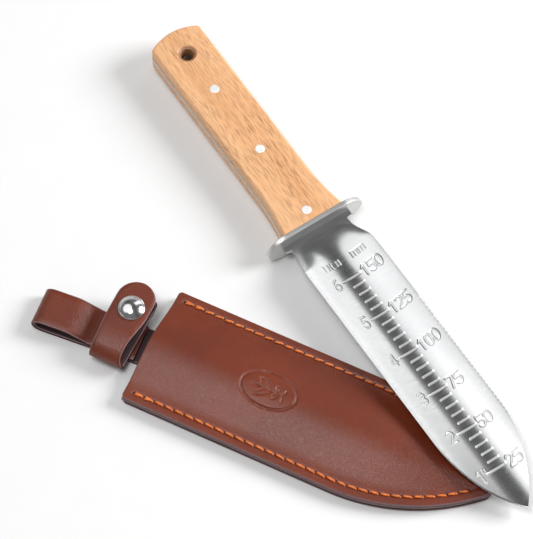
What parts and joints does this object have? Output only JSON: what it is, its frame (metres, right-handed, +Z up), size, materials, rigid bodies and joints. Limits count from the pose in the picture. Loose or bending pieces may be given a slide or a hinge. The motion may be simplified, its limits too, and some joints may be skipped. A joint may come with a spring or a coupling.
{
  "type": "hori hori knife with sheath",
  "caption": "Hori hori digging knife with a trough-shaped steel blade, oval guard and riveted wooden handle, lying across its stitched leather sheath with belt loop and snap strap.",
  "frame": {"origin": "middle of the sheath's mouth, on the sheath's back face where it lies on the floor", "axes": "+X from the sheath's mouth to its tip, +Y across the sheath towards the knife's handle, +Z up from the floor"},
  "size_m": [0.2777, 0.203, 0.0188],
  "materials": {
    "blade_steel": "satin, stamped ruler",
    "guard_steel": "brushed",
    "beech": "oiled, smooth",
    "rivet_metal": "ground flush",
    "leather": "smooth, semi-gloss",
    "thread": "waxed orange thread",
    "nickel": "polished"
  },
  "bodies": {
    "sheath": {"sheath_front": "leather", "sheath_welt": "leather", "sheath_back": "leather", "stitches_near": "thread", "stitches_far": "thread", "strap_base": "leather", "snap_stud": "nickel", "snap_back": "nickel", "loop_rivet": "nickel"},
    "flap": {"strap_flap": "leather", "snap_cap": "nickel", "snap_socket": "nickel"},
    "knife": {"blade": "blade_steel", "guard": "guard_steel", "scale_front": "beech", "scale_back": "beech", "rivet_1": "rivet_metal", "rivet_2": "rivet_metal", "rivet_3": "rivet_metal"}
  },
  "joints": [
    {"name": "strap_open", "type": "hinge", "parent": "sheath", "child": "flap", "pos_m": [-0.0155, -0.0174, 0.00535], "axis": [1, 0, 0], "range_deg": [0, 110]},
    {"name": "knife_lift", "type": "slide", "parent": "sheath", "child": "knife", "axis": [0, 0, 1], "range_m": [0, 0.15]}
  ]
}
